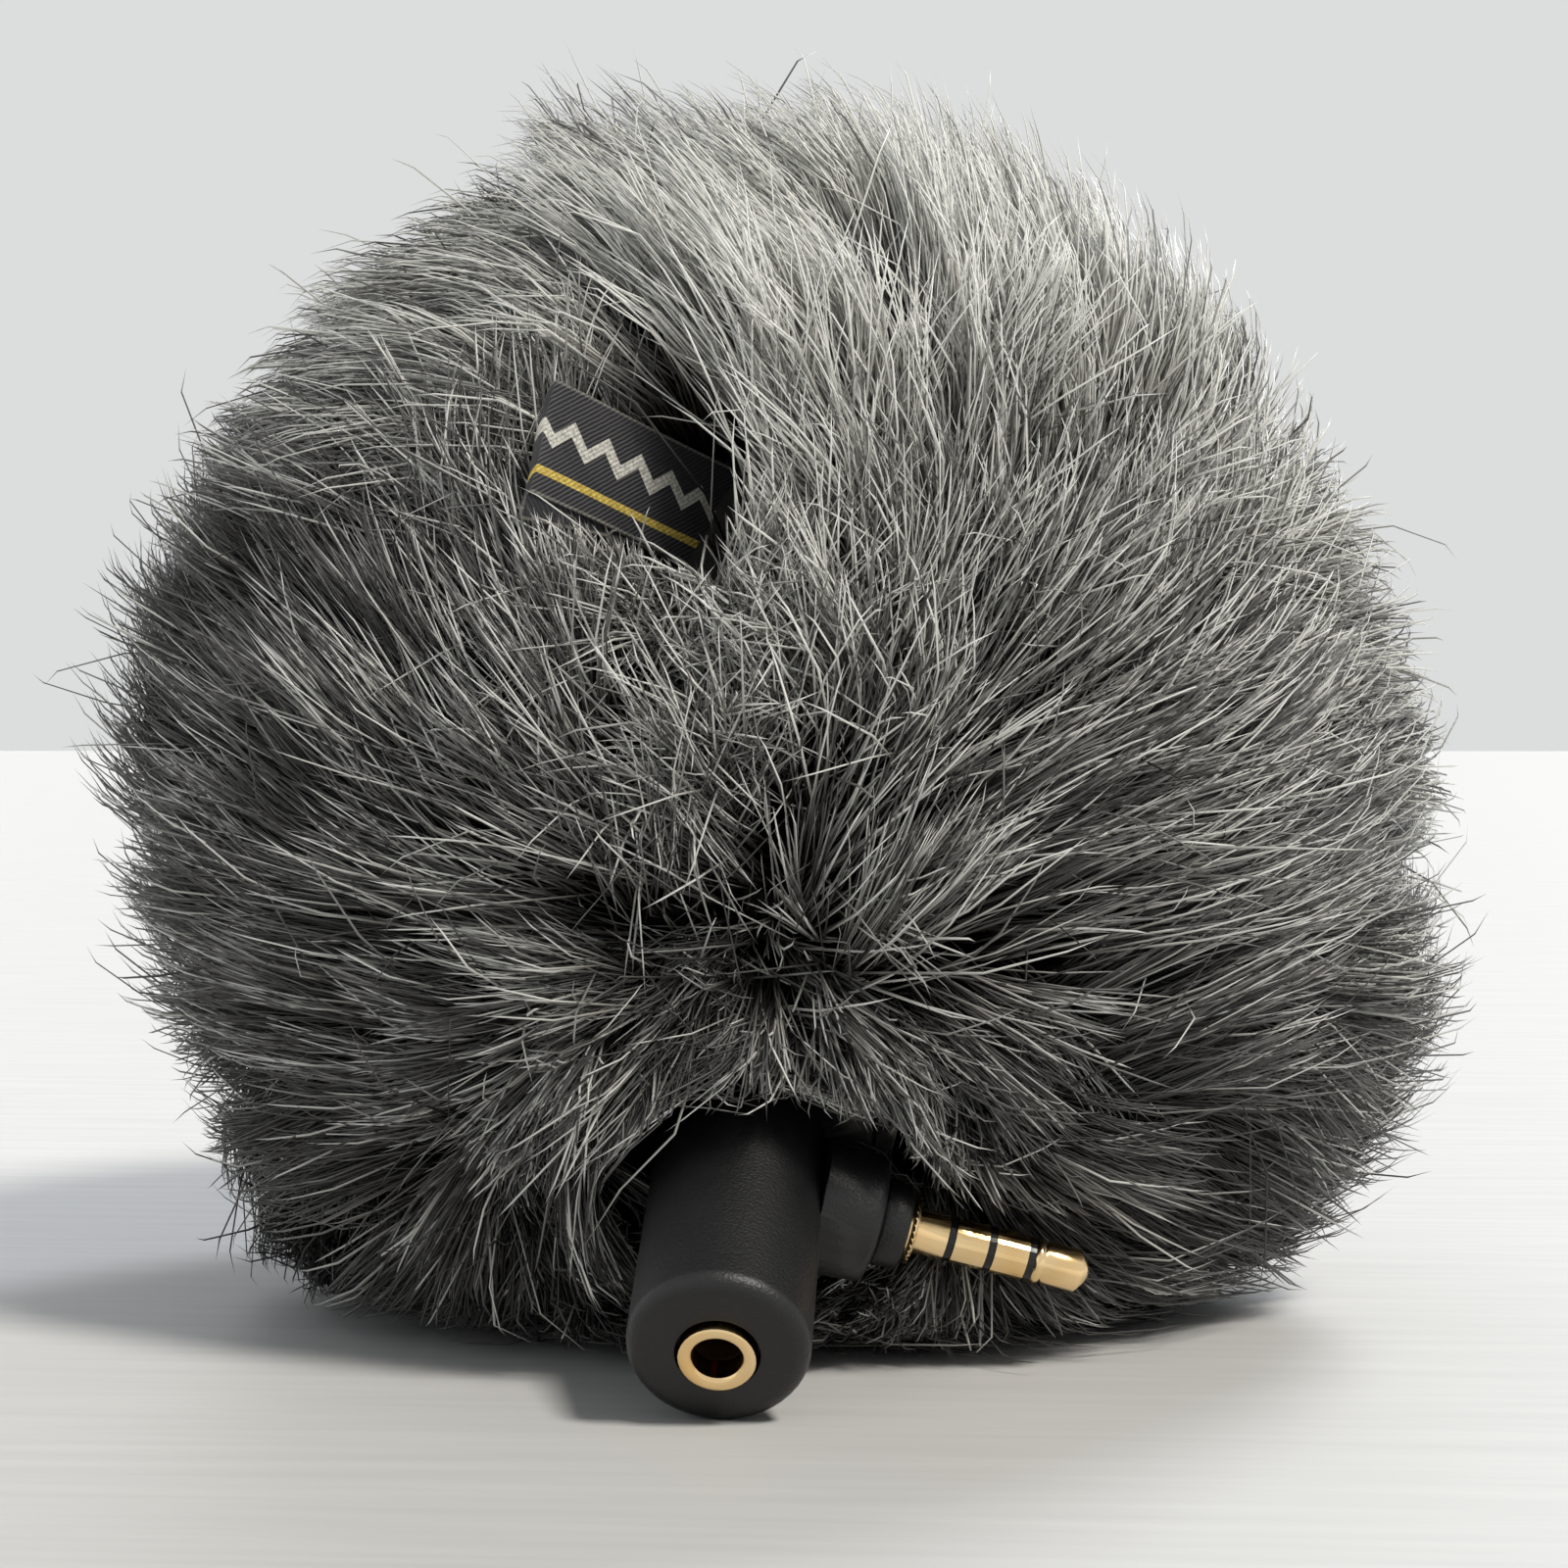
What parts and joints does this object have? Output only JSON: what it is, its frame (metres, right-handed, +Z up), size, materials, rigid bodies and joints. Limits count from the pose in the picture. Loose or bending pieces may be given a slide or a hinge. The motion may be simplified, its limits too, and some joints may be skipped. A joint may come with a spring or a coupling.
{
  "type": "smartphone microphone with furry windshield",
  "caption": "Compact directional microphone with a side headset plug, a rear headphone socket and a ball-shaped faux-fur windshield that pulls off its head.",
  "frame": {"origin": "middle of the bounding box's base, on the table that the microphone lies on", "axes": "+Z up; +X to the side that the plug points to; +Y along the microphone from its rear face into the fur, level, while its axis rises 28.5 degrees"},
  "size_m": [0.1086, 0.108, 0.1012],
  "materials": {
    "housing_plastic": "matte",
    "gold_plating": "polished",
    "insulator_plastic": "gloss",
    "inner_plastic": "satin",
    "contact_brass": "satin",
    "capsule_can": "satin",
    "capacitor_can": "satin",
    "circuit_board": "satin",
    "lead_insulation": "satin",
    "mount_rubber": "matte",
    "steel_screen": "satin",
    "fur_pile": "matte",
    "elastic": "matte",
    "lining": "matte",
    "label_ribbon": "matte"
  },
  "bodies": {
    "microphone": {"rear_housing": "housing_plastic", "plug_boot": "housing_plastic", "head_shell": "housing_plastic", "front_cap": "housing_plastic", "plug_sleeve": "gold_plating", "plug_ring_2": "gold_plating", "plug_ring_1": "gold_plating", "plug_tip": "gold_plating", "jack_ring": "gold_plating", "sleeve_insulator": "insulator_plastic", "ring_insulator": "insulator_plastic", "tip_insulator": "insulator_plastic", "jack_body": "inner_plastic", "plug_terminal": "inner_plastic", "baffle": "inner_plastic", "preamp_chip": "inner_plastic", "capsule_back_plate": "inner_plastic", "jack_tip_contact": "contact_brass", "jack_ring_contact": "contact_brass", "capsule": "capsule_can", "capacitor_1": "capacitor_can", "capacitor_2": "capacitor_can", "circuit_board": "circuit_board", "capsule_lead_1": "lead_insulation", "capsule_lead_2": "lead_insulation", "capsule_mount": "mount_rubber", "grille_mesh": "steel_screen"},
    "windshield": {"fur_upper_left": "fur_pile", "fur_upper_right": "fur_pile", "fur_lower_left": "fur_pile", "fur_lower_right": "fur_pile", "elastic_cuff": "elastic", "windshield_lining": "lining", "woven_label": "label_ribbon"}
  },
  "joints": [
    {"name": "windshield_slide", "type": "slide", "parent": "microphone", "child": "windshield", "axis": [0, 0.8788, 0.4772], "range_m": [0, 0.06]}
  ]
}
